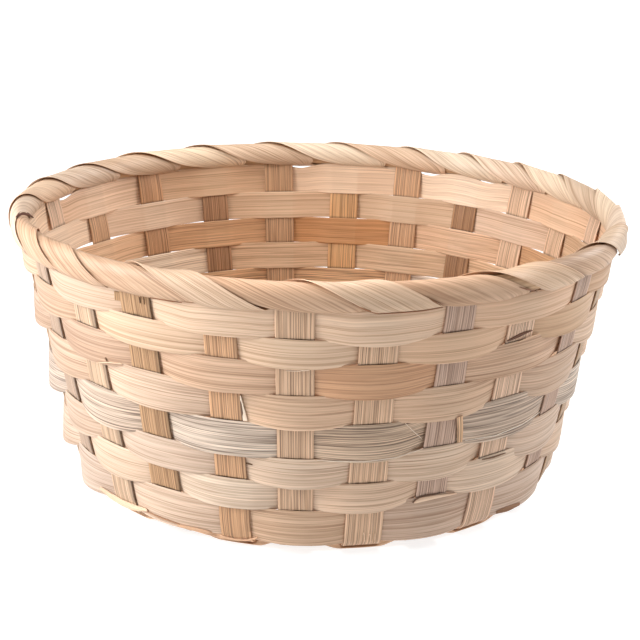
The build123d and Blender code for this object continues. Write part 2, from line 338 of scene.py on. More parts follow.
def strip(name, centre, across, normal, half, thick, seed, mat, tone, cols=12, cup=0.0, relief=0.06, grid=None, grain=None):
    """A closed thin strip. centre, across and normal are its stations; half its half width at each
    station and edge (n, 2); tone(face) gives an (n, cols) colour for the outer (1) or inner (-1) face.
    grid, if given, is the (n, cols, 3) mid-surface and (n, cols, 3) normals in place of the stations."""
    soft = 0.07
    core = np.linspace(-1 + 0.085, 1 - 0.085, cols - 4)
    w = np.concatenate([[-1.0, -0.965], core, [0.965, 1.0]])
    n = len(centre)
    hw = np.where(w[None, :] < 0, half[:, :1], half[:, 1:])
    if grid is None:
        mid = centre[:, None, :] + across[:, None, :] * (w[None, :] * hw)[:, :, None]
        nrm = np.repeat(normal[:, None, :], len(w), axis=1)
        mid = mid + nrm * (cup * (1 - w**2))[None, :, None]
    else:
        mid, nrm = grid(w)
    along = np.concatenate([[0.0], np.cumsum(np.linalg.norm(np.diff(centre, axis=0), axis=1))])
    width = w[None, :] * hw
    # low ridges that run along the strip, a little different on its two faces
    def ridges(k):
        rng = np.random.RandomState(seed * 7 + k)
        r = np.zeros_like(width)
        for _ in range(4):
            f, p, q = rng.uniform(0.5, 1.6), rng.uniform(0, 6.28), rng.uniform(40, 160)
            r += np.sin(width * f * 2 + p + 0.8 * np.sin(along[:, None] / q + p))
        return relief * r / 4

    prof = edge_profile(w, soft)[None, :]
    inner_w = 1 - 0.0 * w
    top = mid + nrm * ((thick / 2) * prof + ridges(1) * prof)[:, :, None]
    bot = mid - nrm * ((thick / 2) * prof + ridges(2) * prof)[:, :, None]
    m = len(w)
    ring = np.concatenate([top, bot[:, ::-1]], axis=1)          # (n, 2m, 3)
    verts = ring.reshape(-1, 3) / 1000.0
    if grain is not None:
        width = np.repeat((w * grain)[None, :], n, axis=0)
    ringw = np.concatenate([width, width[:, ::-1]], axis=1)
    sid = np.concatenate([np.full((n, m), seed * 1.37), np.full((n, m), seed * 1.37 + 0.61)], axis=1)
    coords = np.stack([np.repeat(along[:, None], 2 * m, axis=1) / 1000.0, ringw / 1000.0, sid], axis=-1).reshape(-1, 3)
    tones = np.concatenate([tone(1, along, w), tone(-1, along, w)[:, ::-1]], axis=1).reshape(-1, 3)

    i = np.arange(n - 1)[:, None] * (2 * m)
    j = np.arange(2 * m)[None, :]
    jn = (j + 1) % (2 * m)
    quads = np.stack([i + j, i + jn, i + 2 * m + jn, i + 2 * m + j], axis=-1).reshape(-1, 4)
    caps = []
    for base, flip in ((0, True), ((n - 1) * 2 * m, False)):
        for c in range(m - 1):
            q = [base + c, base + c + 1, base + 2 * m - 2 - c, base + 2 * m - 1 - c]
            caps.append(q[::-1] if not flip else q)
    faces = np.concatenate([quads, np.array(caps)], axis=0)
    # make the faces point outwards
    v = verts
    q = faces
    vol = np.einsum("ij,ij->i", v[q[:, 0]], np.cross(v[q[:, 1]], v[q[:, 2]])).sum() + np.einsum("ij,ij->i", v[q[:, 0]], np.cross(v[q[:, 2]], v[q[:, 3]])).sum()
    if vol < 0:
        faces = faces[:, ::-1]
        flipped = True
    else:
        flipped = False

    mesh = bpy.data.meshes.new(name)
    mesh.vertices.add(len(verts))
    mesh.vertices.foreach_set("co", verts.ravel())
    mesh.loops.add(faces.size)
    mesh.loops.foreach_set("vertex_index", faces.ravel().astype(np.int32))
    mesh.polygons.add(len(faces))
    mesh.polygons.foreach_set("loop_start", (np.arange(len(faces)) * 4).astype(np.int32))
    mesh.update(calc_edges=True)
    mesh.polygons.foreach_set("use_smooth", np.ones(len(faces), bool))
    a = mesh.attributes.new("strip", "FLOAT_VECTOR", "POINT")
    a.data.foreach_set("vector", coords.ravel())
    a = mesh.attributes.new("side", "FLOAT", "POINT")
    a.data.foreach_set("value", np.tile(np.concatenate([w, w[::-1]]), n))
    a = mesh.attributes.new("tone", "FLOAT_COLOR", "POINT")
    a.data.foreach_set("color", np.concatenate([tones, np.ones((len(tones), 1))], axis=1).ravel())

    # a second map: the strip in a few lengths, one under another
    around = np.concatenate([[0.0], np.cumsum(np.linalg.norm(np.diff(ring[n // 2], axis=0), axis=1))])
    girth = around[-1] + thick
    pieces = max(1, int(round(math.sqrt(along[-1] / girth))))
    per = along[-1] / pieces + 1e-6
    seg = np.minimum((0.5 * (along[:-1] + along[1:]) / per).astype(int), pieces - 1)
    a0, a1 = along[:-1], along[1:]
    u0 = 0.01 + 0.98 * (a0 - seg * per) / per
    u1 = 0.01 + 0.98 * (a1 - seg * per) / per
    v0 = around / girth
    v1 = np.concatenate([around[1:], [girth]]) / girth
    def vv(x):
        return 0.97 * (seg[:, None] + 0.03 + 0.94 * x[None, :]) / pieces
    U0, U1 = np.repeat(u0[:, None], 2 * m, 1), np.repeat(u1[:, None], 2 * m, 1)
    uv = np.stack([np.stack([U0, vv(v0)], -1), np.stack([U0, vv(v1)], -1), np.stack([U1, vv(v1)], -1), np.stack([U1, vv(v0)], -1)], axis=2).reshape(-1, 4, 2)
    cap_uv = []
    for side in range(2):
        for c in range(m - 1):
            x0, x1 = 0.02 + 0.48 * side + 0.4 * c / (m - 1), 0.02 + 0.48 * side + 0.4 * (c + 1) / (m - 1)
            q = [(x0, 0.978), (x1, 0.978), (x1, 0.996), (x0, 0.996)]
            cap_uv.append(q[::-1] if side == 1 else q)
    uv = np.concatenate([uv, np.array(cap_uv)], axis=0)
    if flipped:
        uv = uv[:, ::-1]
    layer = mesh.uv_layers.new(name="OFBake")
    layer.data.foreach_set("uv", uv.reshape(-1).astype(np.float32))
    mesh.set_sharp_from_angle(angle=math.radians(48))
    mesh.validate()
    ob = bpy.data.objects.new(name, mesh)
    bpy.context.scene.collection.objects.link(ob)
    mesh.materials.append(mat)
    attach(ob, "root")
    return ob


def flat_tone(rgb):
    def tone(face, along, w):
        return np.broadcast_to(np.array(rgb), (len(along), len(w), 3)).copy()
    return tone


def edges(along, seed, half, amount):
    """Half width at both edges: split wood is never quite straight."""
    out = np.empty((len(along), 2))
    for c in range(2):
        out[:, c] = half + wander(along, 38.0, amount, seed + 11 * c) + wander(along, 6.0, amount * 0.35, seed + 5 + 11 * c)
    return out


def lengths(p):
    return np.concatenate([[0.0], np.cumsum(np.linalg.norm(np.diff(p, axis=0), axis=1))])


# ------------------------------------------------------------------ side weavers
def weave(row, deg, first):
    """How far out each station of a row stands: 0 behind an upright, 1 at the crown of an outside pass."""
    ks = [k for k in range(first - 6, first + N_STAKES + 8) if (row % 2 == 1) == (k % 2 == 0)]
    z = row_z(row)
    f = z / RIM_Z
    at = np.array([stake_deg(k) for k in ks])
    tuck = np.array([math.degrees((stake_wide(k)[0] * (1 - f) + stake_wide(k)[1] * f) / 2 / wall_r(z)) for k in ks])
    i = np.clip(np.searchsorted(at, deg, side="right") - 1, 0, len(ks) - 2)
    lo, hi = at[i] + tuck[i] - 0.1, at[i + 1] - tuck[i + 1] + 0.1
    x = np.clip((deg - lo) / (hi - lo), 0, 1)
    return np.sin(np.pi * x) ** 0.8


# How far the upper and the lower edge of a row stand above their even places (mm), by upright.
ROW_EDGE = {
    1: {-5: (0.0, 1.0), -3: (0.0, 1.1), -1: (0.0, 0.8), 1: (0.0, -1.3), 3: (0.0, 1.5), 5: (0.0, 1.0)},
    2: {-6: (2.0, 2.0), -4: (2.8, 2.5), -2: (2.9, 2.9), 0: (0.9, 1.5), 2: (1.5, 1.9), 4: (2.0, 1.8), 6: (1.0, 1.0)},
    3: {-5: (3.6, 1.7), -3: (4.6, 2.5), -1: (3.5, 2.2), 1: (2.9, 1.2), 3: (5.2, 4.6), 5: (3.0, 2.0)},
    4: {-6: (2.5, 1.0), -4: (4.6, 1.6), -2: (4.6, 3.0), 0: (2.0, 0.5), 2: (3.5, 1.7), 4: (4.8, 0.5), 6: (2.0, 0.5)},
    5: {-5: (2.5, -2.6), -3: (3.2, -1.1), -1: (2.1, -0.2), 1: (2.0, -1.3), 3: (5.2, 0.1), 5: (2.5, 0.0)},
    6: {-6: (1.0, 0.0), -4: (1.7, -0.6), -2: (1.1, 0.9), 0: (-0.5, -0.6), 2: (1.8, 0.3), 4: (2.1, -1.9), 6: (1.0, 0.0)},
    7: {-5: (1.6, -2.4), -3: (2.6, 0.7), -1: (1.2, 0.7), 1: (0.9, 0.4), 3: (4.6, 1.8), 5: (2.0, 0.5)},
    8: {-6: (1.5, 0.0), -4: (2.2, 0.0), -2: (2.6, 0.4), 0: (1.0, 0.0), 2: (4.6, 0.2), 4: (2.5, 0.0), 6: (1.0, 0.0)},
}
# Where the lower edge of a pass stands out farther than the rest (mm).
FOOT_OUT = {(3, -5): 1.2, (5, -5): 2.6, (7, -5): 2.8, (8, -4): 2.0, (1, 1): 0.5, (4, -2): 0.3}


def row_edges(row, deg):
    """Upper and lower edge of a row against their even places, round the basket."""
    d = (np.asarray(deg, float) + 180.0) % 360.0 - 180.0
    ks = sorted(ROW_EDGE[row])
    at = [-180.0, stake_deg(ks[0] - 3)] + [stake_deg(k) for k in ks] + [stake_deg(ks[-1] + 3), 180.0]
    out = []
    for c in range(2):
        v = [0.0, 0.0] + [ROW_EDGE[row][k][c] for k in ks] + [0.0, 0.0]
        i = np.clip(np.searchsorted(at, d, side="right") - 1, 0, len(at) - 2)
        a, b = np.array(at)[i], np.array(at)[i + 1]
        t = smooth((d - a) / (b - a))
        out.append(np.array(v)[i] * (1 - t) + np.array(v)[i + 1] * t)
    return out


def row_start(row):
    start = LAP_AT[row]
    return start + 1 if (row % 2 == 1) != (start % 2 == 0) else start


def row_lift(row, deg):
    """A row's slow rise and fall, the same wherever it is asked for."""
    lo = stake_deg(row_start(row)) - 4.0
    arc = np.radians(lo + (np.asarray(deg, float) - lo) % 360.0) * wall_r(row_z(row))
    return wander(arc, 70.0, 0.22, 101 + row * 13)


def make_weaver(row):
    start = LAP_AT[row]
    if (row % 2 == 1) != (start % 2 == 0):
        start += 1
    r_mm = wall_r(row_z(row))
    edge = math.degrees(6.6 / r_mm)
    lo = stake_deg(start) - edge * 0.6
    hi = stake_deg(start + N_STAKES) + edge + 2.6
    step = 0.5
    deg = np.linspace(lo, hi, int((hi - lo) / step))
    q = weave(row, deg, start)
    seed = 100 + row * 13
    arc = np.radians(deg) * r_mm
    last = stake_deg(start + N_STAKES)
    prev = stake_deg(start + N_STAKES - 1)
    lap = -(WEAVER_T + 0.12) * smooth((deg - prev - edge) / max(1e-6, last - prev - 2 * edge))
    loose = 1.0 + wander(arc, 45.0, 0.16, seed + 3)
    round_ = np.abs((deg + 180.0) % 360.0 - 180.0)
    back = smooth((round_ - 75.0) / 35.0)
    top_off = -0.66 + q * 1.50
    foot_off = -0.78 + q * 3.25 * loose * (1 - 0.20 * back)
    lift = row_lift(row, np.minimum(deg, lo + 359.9))
    rise, drop = row_edges(row, deg)
    for (r, k), far in FOOT_OUT.items():
        if r == row:
            near = (deg - stake_deg(k) + 180.0) % 360.0 - 180.0
            foot_off = foot_off + far * np.exp(-((near / 8.0) ** 2)) * q
    half = WEAVER_W / 2 * COS_F
    out = out_dir(deg)
    up = np.array([0.0, 0.0, 1.0])
    zt = row_z(row) + half + rise
    zf = row_z(row) - half + drop - 0.15 - 0.23 * back
    if row == 1:
        zt = zt + 0.9 + 0.7 * back
        for k in list(range(-4, 7)) + list(RIM_GAPS):
            for turn in (0, 360, 720):
                zt = zt - RIM_GAPS.get(k, 0.9) * np.exp(-(((deg - turn - dive_deg(k)) / (3.8 if k in RIM_GAPS else 2.6)) ** 2))
    if row == N_ROWS:
        zf = zf - 1.5
    else:
        # beside an upright the row ends where the row below begins, farther on it hangs over it
        lap_over = row_edges(row + 1, deg)[0] + row_lift(row + 1, deg) - drop - lift + 0.12
        zf = zf + (1 - back) * np.clip(lap_over, 0.0, 4.5) * (1 - q) ** 1.1
        below = row_z(row + 1) + half + row_edges(row + 1, deg)[0] + row_lift(row + 1, deg) - lift - 0.45
        zf = back * zf + (1 - back) * np.minimum(zf, below)
    top = out * (wall_r(zt) + top_off + lap)[:, None] + up * (zt + lift)[:, None]
    foot = out * (wall_r(zf) + foot_off + lap)[:, None] + up * (zf + lift)[:, None]
    centre = (top + foot) / 2
    across = unit(top - foot)
    tangent = unit(np.gradient(centre, axis=0))
    normal = unit(np.cross(tangent, across))
    sign = np.sign((normal * out).sum(-1).mean())
    normal = normal * sign
    along = lengths(centre)
    wide = np.linalg.norm(top - foot, axis=1) / 2
    he = edges(along, seed, 0.0, 0.2) + wide[:, None]

    def tone(face, al, w):
        return weaver_tone(row, face, deg, al, w)

    ob = strip(f"weaver_row_{row}_splint", centre, across, normal, he, WEAVER_T, seed, GREY if row == 5 else WEAVER_LOW if row > 2 else WEAVER, tone, cols=14, cup=0.12)
    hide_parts(f"weaver_row_{row}")
    return ob


RIM_GAPS = {9: 1.8, 10: 2.7, 12: 2.5, 16: 2.5}   # where daylight shows under the rim: how far row 1 drops there


ROW_TONE = {   # outer face, inner face
    1: ((1.00, 1.00, 1.00), (1.10, 1.10, 1.10)), 2: ((0.98, 0.98, 0.97), (1.08, 1.11, 1.14)),
    3: ((0.90, 0.86, 0.84), (0.99, 0.88, 0.76)), 4: ((0.98, 0.98, 0.98), (1.08, 1.10, 1.10)),
    5: ((0.98, 0.98, 0.98), (1.00, 1.00, 1.00)), 6: ((0.94, 0.97, 1.01), (1.05, 1.05, 1.05)),
    7: ((0.96, 1.00, 1.05), (1.05, 1.05, 1.05)), 8: ((0.94, 0.97, 1.03), (1.05, 1.05, 1.05)),
}


WOOD_AND_LIGHT = {   # tints that the weavers show, next to their row's own colour: partly kinds of wood, partly painted light and shade matched to the lamps
    "plain": (1.00, 0.98, 0.96), "pale": (1.06, 1.10, 1.13), "white": (1.10, 1.20, 1.28), "cool": (0.95, 0.98, 1.03), "warm": (0.96, 0.90, 0.82),
    "dull": (0.88, 0.87, 0.88), "dusk": (0.83, 0.78, 0.71), "amber": (0.97, 0.82, 0.68), "honey": (1.12, 0.84, 0.58), "brown": (0.78, 0.62, 0.45),
}
PASS_WOOD_AND_LIGHT = {   # the tint of a row, its wood with painted light and shade, changes along the strip, by the upright it crosses: outer face, inner face
    1: ({-3: "cool", -1: "pale", 1: "pale", 3: "plain", 5: "dusk"},
        {-6: "white", 8: "plain", 10: "white", 12: "pale", 14: "warm", 16: "plain", 18: "white"}),
    2: ({-4: "dull", -2: "pale", 0: "pale", 2: "plain", 4: "dusk"},
        {7: "dusk", 9: "dull", 11: "dusk", 13: "warm", 15: "plain", 17: "pale"}),
    3: ({-5: "cool", -3: "dull", -1: "plain", 1: "amber", 3: "plain", 5: "white"},
        {8: "dusk", 10: "cool", 12: "brown", 14: "warm", 16: "pale"}),
    4: ({-4: "dull", -2: "cool", 0: "plain", 2: "plain", 4: "dull"},
        {9: "warm", 11: "dusk", 13: "warm", 15: "white"}),
    5: ({-5: "dull", -3: "plain", -1: "pale", 1: "warm", 3: "plain", 5: "pale"},
        {12: "honey", 14: "honey"}),
    6: ({-4: "dull", -2: "cool", 0: "pale", 2: "pale", 4: "cool"}, {}),
    7: ({-5: "cool", -3: "pale", -1: "white", 1: "plain", 3: "pale"}, {}),
    8: ({-4: "cool", -2: "pale", 0: "warm", 2: "dull", 4: "cool"}, {}),
}


def pass_shade(row, face, deg):
    """The colour of each pass, partly the wood's own and partly painted light and shade, changing where the row is
    hidden by an upright.
    """
    table = {k: WOOD_AND_LIGHT[kind] for k, kind in PASS_WOOD_AND_LIGHT[row][0 if face > 0 else 1].items()}
    d = (np.asarray(deg, float) + 90.0) % 360.0 - 90.0
    total, weight = np.zeros((len(d), 3)), np.zeros(len(d))
    for k in range(-6, 19):
        if (face > 0) == ((row % 2 == 1) == (k % 2 == 0)):
            continue
        near = 1 - smooth((np.abs(d - stake_deg(k)) - 11.0) / 8.0)
        total += near[:, None] * np.array(table.get(k, (1.0, 1.0, 1.0)))
        weight += near
    return (total + 1e-6) / (weight + 1e-6)[:, None]


def weaver_tone(row, face, deg, along, w):
    base = np.array(ROW_TONE[row][0 if face > 0 else 1])
    t = np.broadcast_to(base, (len(along), len(w), 3)).copy()
    slow = 1 + wander(along, 120.0, 0.06, 900 + row * 3 + (1 if face > 0 else 2))
    warm = wander(along, 160.0, 0.05, 700 + row * 5 + (1 if face > 0 else 2))
    t *= slow[:, None, None]
    t *= np.stack([1 + 0 * warm, 1 - warm * 0.5, 1 - warm], axis=-1)[:, None, :]
    t *= pass_shade(row, face, deg)[:, None, :]
    # painted shade on the outer faces: a little darker all round and more on the left, where the lamps light them
    # strongest
    if face > 0:
        d = (deg + 180.0) % 360.0 - 180.0
        left = smooth((-d - 40.0) / 35.0) * smooth((d + 172.0) / 50.0) * (0.15 if row < 5 else 0.07)
        t *= 0.957 * (1 - left)[:, None, None]
    return t


# ------------------------------------------------------------------ uprights
# tints of the uprights: partly the wood's own colour, partly painted light and shade matched to the lamps
STAKE_WOOD_AND_LIGHT = {
    "ash": (0.86, 0.86, 0.92), "grey": (1.02, 1.00, 1.13), "plain": (1.06, 1.05, 1.05), "pale": (1.24, 1.18, 1.16), "white": (1.38, 1.36, 1.42),
    "tan": (1.08, 0.90, 0.75), "honey": (1.27, 1.02, 0.72), "amber": (1.00, 0.76, 0.58), "khaki": (0.90, 0.76, 0.60), "brown": (0.80, 0.60, 0.47),
    "dark": (0.69, 0.51, 0.37),
}
STAKE_KIND = {   # by upright number, counted from the front
    -4: "ash", -3: "plain", -2: "khaki", -1: "tan", 0: "pale", 1: "pale", 2: "grey", 3: "white", 4: "grey", 7: "white", 8: "pale", 9: "pale",
    10: "dark", 11: "tan", 12: "honey", 13: "tan", 14: "brown", 15: "amber", 16: "tan", 17: "white",
}
STAKE_TONE = {k: STAKE_WOOD_AND_LIGHT[kind] for k, kind in STAKE_KIND.items()}


EDGE_SHADE = {-4: 0.60, -3: 0.66, -2: 0.62, -1: 0.40}     # painted shadow beside an upright, on the side away from the light


def half_path(lane, level, deg, to_uv):
    """Points of one half of a long splint, from the middle of the base to the rim: position, direction
    along it and direction across it."""
    P, A, D = [], [], []

    def flat(u, v, z, du, dv):
        n = math.hypot(du, dv)
        P.append(to_uv(u, v, z))
        D.append(to_uv(du / n, dv / n, 0))
        A.append(to_uv(-dv / n, du / n, 0))

    u = 0.0
    prev_level = None
    knots_u = []
    knots_z = []
    for i, c in enumerate(LANES[3:]):
        knots_u += [c - PLATEAU, c + PLATEAU]
        knots_z += [level[i], level[i]]
    us = np.arange(0.6, LANES[5] + PLATEAU, 1.3)
    for u in us:
        if u <= knots_u[0]:
            z = None
        j = np.searchsorted(knots_u, u)
        if j == 0:
            z = level[0] if u >= knots_u[0] else None
        if j == 0:
            # towards the middle the splint heads for its level on the other half
            z = level[0]
        elif j >= len(knots_u):
            z = knots_z[-1]
        else:
            t = (u - knots_u[j - 1]) / (knots_u[j] - knots_u[j - 1])
            z = knots_z[j - 1] + (knots_z[j] - knots_z[j - 1]) * float(smooth(np.array(t)))
        flat(u, lane, z, 1, 0)
    a = math.radians(deg)
    out = np.array([math.sin(a), -math.cos(a), 0.0])
    pu, pv = to_uv(1, 0, 0), to_uv(0, 1, 0)
    cu, cv = float(out @ pu), float(out @ pv)
    u0, v0 = LANES[5] + PLATEAU, lane
    r1 = 79.5
    u1, v1 = r1 * cu, r1 * cv
    reach = math.hypot(u1 - u0, v1 - v0)
    for t in np.linspace(0, 1, 22):
        h00, h10 = 2 * t**3 - 3 * t**2 + 1, t**3 - 2 * t**2 + t
        h01, h11 = -2 * t**3 + 3 * t**2, t**3 - t**2
        d00, d10 = 6 * t**2 - 6 * t, 3 * t**2 - 4 * t + 1
        d01, d11 = -6 * t**2 + 6 * t, 3 * t**2 - 2 * t
        z = level[2] + (EDGE_Z - level[2]) * float(smooth(np.array((t - 0.3) / 0.6)))
        flat(h00 * u0 + h10 * reach + h01 * u1 + h11 * reach * cu, h00 * v0 + h01 * v1 + h11 * reach * cv, z,
             d00 * u0 + d10 * reach + d01 * u1 + d11 * reach * cu, d00 * v0 + d01 * v1 + d11 * reach * cv)
    side = np.array([-out[1], out[0], 0.0])
    if side @ to_uv(-cv, cu, 0) < 0:
        side = -side
    for r in np.arange(r1 + 1.5, HEEL_CR - 0.5, 1.6):
        P.append(out * r + np.array([0, 0, EDGE_Z])); D.append(out); A.append(side)
    turn = math.pi / 2 - FLARE
    for s in range(0, 10):
        b = turn * s / 9
        P.append(out * (HEEL_CR + HEEL_R * math.sin(b)) + np.array([0, 0, HEEL_CZ - HEEL_R * math.cos(b)]))
        D.append(out * math.cos(b) + np.array([0, 0, math.sin(b)])); A.append(side)
    z0 = HEEL_CZ - HEEL_R * math.cos(turn)
    for z in np.arange(z0 + 0.6, RIM_Z + 4.0, 0.45):
        P.append(out * wall_r(z) + np.array([0, 0, z])); D.append(out * SIN_F + np.array([0, 0, COS_F])); A.append(side)
    return np.array(P), np.array(D), np.array(A)


def stake_push(k, z):
    """An upright gives a little: inwards where a weaver passes outside it, outwards where one passes inside."""
    amount = np.zeros_like(z)
    for row in range(1, N_ROWS + 1):
        inside = (row % 2 == 1) == (k % 2 == 0)
        amount += (1 if inside else -1) * np.exp(-(((z - row_z(row)) / 4.6) ** 2))
    return 0.22 * amount


def make_stake(name, lane_i, k_ahead, k_behind, to_uv, seed):
    lane = LANES[lane_i]

    def level(j):
        return GRID_HIGH if (lane_i + j) % 2 == 0 else GRID_LOW

    def back_uv(u, v, z):
        return to_uv(-u, -v, z)

    Pa, Da, Aa = half_path(lane, [level(j) for j in (3, 4, 5)], stake_deg(k_ahead), to_uv)
    Pb, Db, Ab = half_path(-lane, [level(j) for j in (2, 1, 0)], stake_deg(k_behind), back_uv)
    # blend the two levels where the halves meet
    la, lb = level(3), level(2)
    for P, mine, other in ((Pa, la, lb), (Pb, lb, la)):
        u = np.hypot(P[:, 0] - 0, P[:, 1] - 0)
    mid = (la + lb) / 2
    for P, uvf, own in ((Pa, to_uv, la), (Pb, back_uv, lb)):
        du = P @ uvf(1, 0, 0)
        near = du < 8.0 - PLATEAU
        P[near, 2] = mid + (own - mid) * smooth(0.5 + 0.5 * du[near] / (8.0 - PLATEAU)) * 2 - (own - mid)
    for P, k, A in ((Pa, k_ahead, Aa), (Pb, k_behind, Ab)):
        z = P[:, 2]
        wall = z > HEEL_CZ - 1.5
        a = math.radians(stake_deg(k))
        out = np.array([math.sin(a), -math.cos(a), 0.0])
        fade = smooth((z - 6.0) / 4.0) * smooth((101.0 - z) / 3.0)
        P += (stake_push(k, z) * fade * wall)[:, None] * out
    P = np.concatenate([Pb[::-1], Pa])
    A = np.concatenate([-Ab[::-1], Aa])
    D = unit(np.gradient(P, axis=0))
    N = unit(np.cross(A, D))      # underneath in the base becomes the outside of the wall
    split = len(Pb)
    along = lengths(P)
    zf = np.clip(P[:, 2] / RIM_Z, 0, 1)
    wb, wa = stake_wide(k_behind), stake_wide(k_ahead)
    wide = np.where(np.arange(len(P)) < split, wb[0] + (wb[1] - wb[0]) * zf, wa[0] + (wa[1] - wa[0]) * zf)
    in_base = P[:, 2] < HEEL_CZ * 0.5
    wide = np.where(in_base, np.minimum(wide, 12.5 + (wide - 12.5) * smooth((np.hypot(P[:, 0], P[:, 1]) - 62) / 24)), wide)
    he = edges(along, seed, 0.0, 0.22) + wide[:, None] / 2

    def tone(face, al, w):
        t = np.ones((len(al), len(w), 3))
        tb = np.array(STAKE_TONE.get(k_behind if k_behind < 20 else k_behind - 24, (0.97, 0.95, 0.92)))
        ta = np.array(STAKE_TONE.get(k_ahead if k_ahead < 20 else k_ahead - 24, (0.97, 0.95, 0.92)))
        f = smooth((al - al[split] + 60) / 120)[:, None, None]
        t *= tb * (1 - f) + ta * f
        # painted shade: the outer face 3% darker, against the stronger light on the outside
        t *= (0.97 if face > 0 else 1.0) * (1 + wander(al, 90.0, 0.08, seed + (3 if face > 0 else 4)))[:, None, None]
        for part, k in ((np.arange(len(al)) < split, k_behind), (np.arange(len(al)) >= split, k_ahead)):
            deg = stake_deg(k)
            # painted shadow along the upright's edge that faces away from the light
            edge_shadow = EDGE_SHADE.get(k if k < 20 else k - 24, 0.0)
            if face > 0 and edge_shadow:
                turn = np.array([math.cos(math.radians(deg)), math.sin(math.radians(deg)), 0.0])
                way = 1.0 if (A[part] @ turn).mean() > 0 else -1.0
                t *= (1 - edge_shadow * smooth((way * w - 0.86) / 0.10)[None, :] * (part & (P[:, 2] > HEEL_CZ))[:, None])[:, :, None]
            # painted shadow: a thin, ragged dark line on the upright just above each weaver's upper edge, where the
            # upright goes behind that weaver
            for row in range(1, N_ROWS + 1):
                outside = (row % 2 == 1) != (k % 2 == 0)
                if outside != (face > 0):
                    continue
                edge = row_z(row) + WEAVER_W / 2 * COS_F + float(row_edges(row, deg)[0]) + float(row_lift(row, deg))
                rag = wander(w * 9.0 + 40 * row, 1.0, 0.5, seed + row)
                d = np.clip((P[:, 2][:, None] - edge - 0.10 - 0.8 * np.clip(rag, 0, 1)[None, :]) / 0.33, 0, None)
                dark = np.exp(-d * d) * (P[:, 2] > edge - 5.0)[:, None] * part[:, None]
                t *= (1 - (0.80 if face > 0 else 0.45) * dark)[:, :, None]
        return t

    ob = strip(name + "_splint", P, A, N, he, STAKE_T, seed, STAKE, tone, cols=14, cup=0.0, relief=0.10)
    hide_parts(name)
    return ob


def to_front(u, v, z):
    return np.array([v, -u, z], float)


def to_right(u, v, z):
    return np.array([u, v, z], float)


# ------------------------------------------------------------------ base ring
def make_ring():
    start = 8
    lo, hi = stake_deg(start), stake_deg(start + N_STAKES) - 0.5
    deg = np.linspace(lo, hi, 420)
    ks = np.arange(start - 1, start + N_STAKES + 3)
    at = np.array([stake_deg(int(k)) for k in ks])
    i = np.clip(np.searchsorted(at, deg, side="right") - 1, 0, len(ks) - 2)
    a, b = at[i], at[i + 1]
    t = smooth((deg - a - 4.4) / np.maximum(b - a - 8.8, 0.5))
    low, high = 0.45, EDGE_Z + 0.5 + 0.1 + 0.45
    za, zb = np.where(ks[i] % 2, low, high), np.where((ks[i] + 1) % 2, low, high)
    z = za + (zb - za) * t
    out = out_dir(deg)
    mid = (RING_R0 + RING_R1) / 2
    P = out * mid + np.array([0, 0, 1.0]) * z[:, None]
    A = out
    T = unit(np.gradient(P, axis=0))
    N = unit(np.cross(T, A))
    if N[:, 2].mean() > 0:
        N = -N
    along = lengths(P)
    he = edges(along, 77, (RING_R1 - RING_R0) / 2, 0.2) + np.array([0.0, 2.6])
    ob = strip("base_ring_splint", P, A, N, he, 0.6, 77, WEAVER, flat_tone((1.0, 0.98, 0.95)), cols=12)
    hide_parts("base_ring_weaver")
    return ob


# ------------------------------------------------------------------ rim lashing
# Two splints wound side by side. A pass is named after the upright before which it dives under the rim
# (pass k dives before upright k + 1), so even passes belong to one splint and odd passes to the other.
LASH_A, LASH_B = 3.40, 4.85
NEXT_ON_TOP = (-2, 0, 2, 4)          # the pass after one of these lies on top of it; elsewhere it lies beneath
PASS_HI = {-5: 14.0, -3: 14.5, -2: 19.5, -1: 12.5, 0: 18.0, 1: 15.0, 2: 19.0, 3: 15.0, 4: 19.0, 10: 16.2, 11: 15.8, 12: 16.0}
PASS_LO = {-4: 21.5, -2: 22.5, -1: 11.0, 0: 22.5, 1: 12.0, 2: 22.5, 3: 10.0, 4: 21.0, 5: 14.0}
DIVE_SHIFT = {-4: -4.0, -3: -6.0, -2: -6.0, -1: -3.6, 0: -0.5, 1: -4.5, 2: -2.0, 3: -2.0, 9: -3.0, 10: -3.5, 11: -3.5}
PASS_PUFF = {-5: 3.8, -4: 1.5, 13: 1.9, 12: 0.8, 11: 0.9}
# tints of the rim's passes: partly the wood's own colour, partly painted light and shade matched to the lamps
LASH_WOOD_AND_LIGHT = {
    "plain": (0.98, 0.95, 0.92), "pale": (1.02, 1.10, 1.15), "white": (1.16, 1.24, 1.27), "cool": (0.92, 0.95, 1.00),
    "tan": (0.91, 0.87, 0.84), "warm": (0.91, 0.79, 0.71), "dull": (0.80, 0.81, 0.82), "dusk": (0.75, 0.67, 0.62),
}
PASS_KIND = {
    -5: "warm", -4: "dusk", -3: "dusk", -2: "dusk", -1: "tan", 0: "warm", 1: "plain", 2: "warm", 3: "plain", 4: "dusk", 5: "dull", 6: "cool",
    7: "pale", 8: "dull", 9: "pale", 10: "cool", 11: "pale", 12: "tan", 13: "pale", 14: "plain", 15: "white", 16: "tan", 17: "cool", 18: "plain", 19: "cool",
}
PASS_TONE = {k: LASH_WOOD_AND_LIGHT[kind] for k, kind in PASS_KIND.items()}
CREST_PAINTED_LIGHT = {-1: 0.05, 0: 0.20, 1: 0.20, 2: 0.20, 3: 0.11, 5: 0.08, 4: -0.05}     # painted light: paler along the top of the rim, where the light from above falls, darker below
SLIP_WIDTH = {12: 2.1, 13: 1.9, 14: 2.6, 15: 2.1, 16: 2.5, 17: 2.1}     # mm that the shade beside an edge reaches, on the far side of the rim
# how dark the painted shade beside a neighbour's edge is, by pass
SLIP_SHADE = {-4: 0.7, -3: 0.45, -2: 0.45, -1: 0.45, 0: 0.55, 1: 0.8, 2: 0.8, 3: 0.8, 4: 0.6, 12: 1.2, 14: 1.45, 16: 1.45}
TURNS = 12


def by_pass(table, default, k):
    return table.get((k + 4) % N_STAKES - 4, default)


